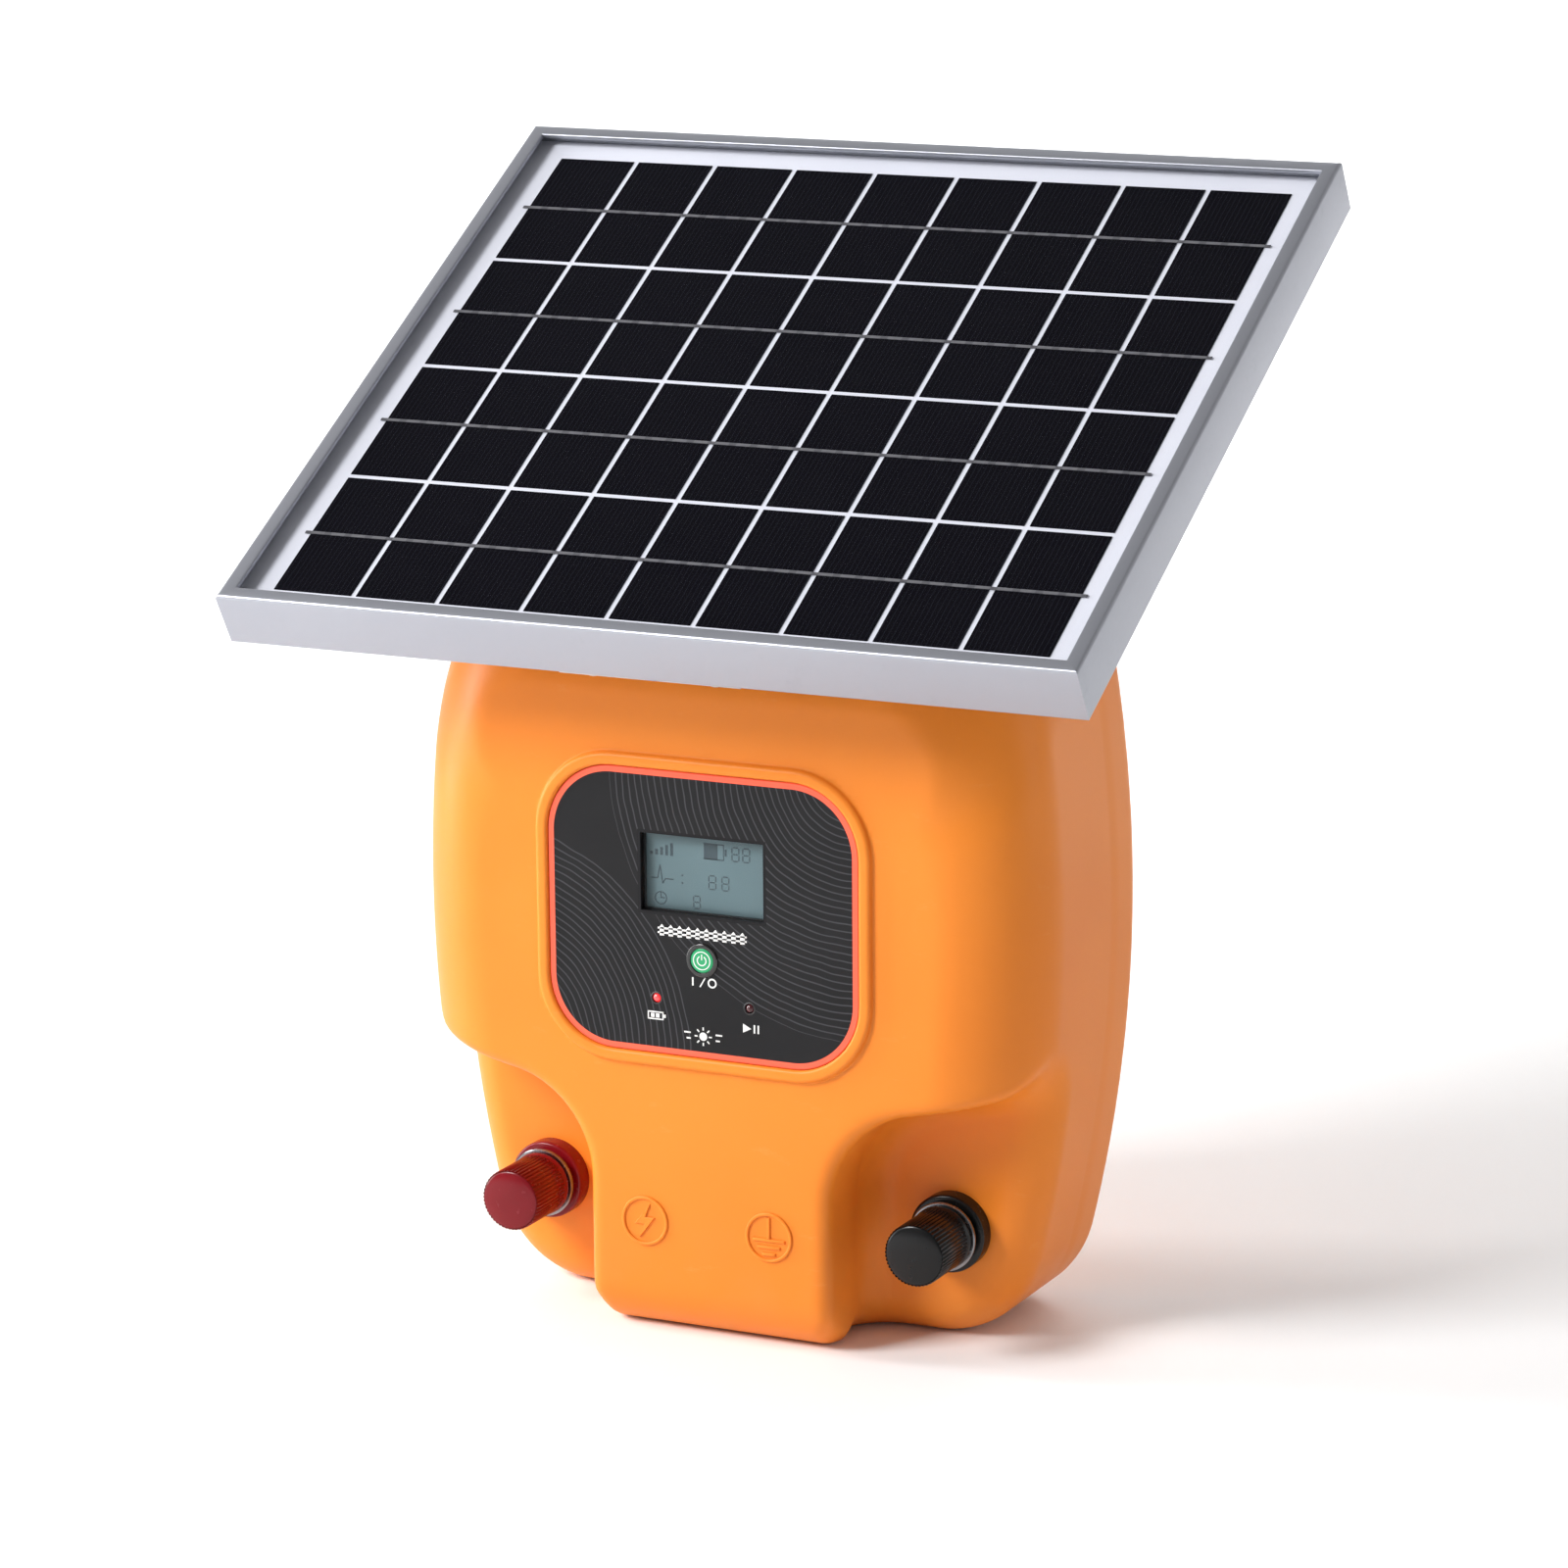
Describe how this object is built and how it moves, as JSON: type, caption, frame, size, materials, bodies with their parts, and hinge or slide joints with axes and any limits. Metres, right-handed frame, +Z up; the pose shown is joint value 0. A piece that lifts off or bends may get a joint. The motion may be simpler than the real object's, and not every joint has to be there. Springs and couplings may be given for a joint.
{
  "type": "fence energizer",
  "caption": "Solar electric fence energizer: bowed two-part housing with display and button, fence and earth terminals, tilting framed solar panel on top.",
  "frame": {"origin": "middle of the flat base of the housing, at the half width and on the depth line where the housing's label face is 43.5 mm in front and its back 44.5 mm behind", "axes": "+Z up, +X to the right as seen from the front, -Y out of the front face with the display and the terminals"},
  "size_m": [0.28, 0.2168, 0.349],
  "materials": {
    "orange_shell": "satin moulded plastic with a fine grain",
    "black_rubber": "soft black rubber cord",
    "zinc_screw": "zinc plated",
    "brass": "turned",
    "label_black": "printed film with a coral border line and grey contour lines",
    "clear_window": "clear",
    "lcd": "grey-blue liquid crystal display",
    "board_green": "solder-masked circuit board",
    "black_gloss": "polished",
    "button_green": "polished",
    "black_plastic": "moulded",
    "lamp_red": "lit red lens",
    "lamp_dark": "unlit smoky lens",
    "component_mix": "black and bare parts of the charge controller",
    "capacitor_blue": "film capacitor case",
    "core_steel": "stacked and varnished",
    "copper": "copper, lacquered",
    "cell_wrap": "shrink wrap",
    "bracket_steel": "silver powder coat",
    "red_knob": "polished dark red",
    "washer_dark": "polished",
    "frame_aluminium": "satin anodised",
    "panel_glass": "low-iron glass",
    "cell_silicon": "dark silicon with fine finger lines",
    "ribbon": "tinned",
    "backsheet": "white film"
  },
  "bodies": {
    "housing": {"front_shell": "orange_shell", "rear_shell": "orange_shell", "case_gasket": "black_rubber", "case_screws": "zinc_screw", "mount_inserts": "brass", "face_label": "label_black", "display_window": "clear_window", "display_module": "lcd", "display_board": "board_green", "display_board_screws": "zinc_screw", "button_bezel": "black_gloss", "button_switch": "black_plastic", "power_lamp": "lamp_red", "run_lamp": "lamp_dark", "main_board": "board_green", "main_board_screws": "zinc_screw", "board_components": "component_mix", "discharge_capacitor": "capacitor_blue", "transformer_core": "core_steel", "transformer_coil": "copper", "transformer_base": "black_plastic", "battery_cells": "cell_wrap", "battery_tray": "black_plastic", "battery_strap": "bracket_steel", "fence_collar": "red_knob", "fence_stud": "zinc_screw", "fence_nuts": "brass", "fence_busbar": "copper", "earth_collar": "black_gloss", "earth_stud": "zinc_screw", "earth_nuts": "brass", "earth_busbar": "copper", "base_bracket": "bracket_steel", "base_bracket_screws": "zinc_screw", "hinge_bolt": "zinc_screw", "hinge_nuts": "zinc_screw", "cable_gland": "black_plastic"},
    "panel": {"front_rail": "frame_aluminium", "rear_rail": "frame_aluminium", "left_rail": "frame_aluminium", "right_rail": "frame_aluminium", "frame_corner_keys": "frame_aluminium", "panel_glass": "panel_glass", "solar_cells": "cell_silicon", "cell_ribbons": "ribbon", "panel_backsheet": "backsheet", "junction_box": "black_plastic", "junction_lid": "black_plastic", "junction_gland": "black_plastic", "panel_bracket": "bracket_steel", "panel_bracket_screws": "zinc_screw"},
    "power_button": {"power_button": "button_green"},
    "fence_clamp": {"fence_washer": "washer_dark"},
    "fence_knob": {"fence_knob": "red_knob"},
    "earth_clamp": {"earth_washer": "washer_dark"},
    "earth_knob": {"earth_knob": "black_gloss"}
  },
  "joints": [
    {"name": "panel_tilt", "type": "hinge", "parent": "housing", "child": "panel", "pos_m": [0, 0.0275, 0.268], "axis": [1, 0, 0], "range_deg": [-30, 10]},
    {"name": "power_button_press", "type": "slide", "parent": "housing", "child": "power_button", "axis": [0, 1, 0], "range_m": [0, 0.001], "stiffness_N_per_m": 800, "springref_m": -0.0005},
    {"name": "fence_clamp_slide", "type": "slide", "parent": "housing", "child": "fence_clamp", "axis": [0, -1, 0], "range_m": [0, 0.004]},
    {"name": "fence_knob_turn", "type": "hinge", "parent": "fence_clamp", "child": "fence_knob", "pos_m": [-0.0685, -0.03, 0.036], "axis": [0, -1, 0], "range_deg": [0, 1480]},
    {"name": "earth_clamp_slide", "type": "slide", "parent": "housing", "child": "earth_clamp", "axis": [0, -1, 0], "range_m": [0, 0.004]},
    {"name": "earth_knob_turn", "type": "hinge", "parent": "earth_clamp", "child": "earth_knob", "pos_m": [0.0685, -0.03, 0.036], "axis": [0, -1, 0], "range_deg": [0, 1480]}
  ],
  "couplings": [
    {"joint": "fence_knob_turn", "follows": "fence_clamp_slide", "rad_per_m": 6283.2},
    {"joint": "earth_knob_turn", "follows": "earth_clamp_slide", "rad_per_m": 6283.2}
  ]
}
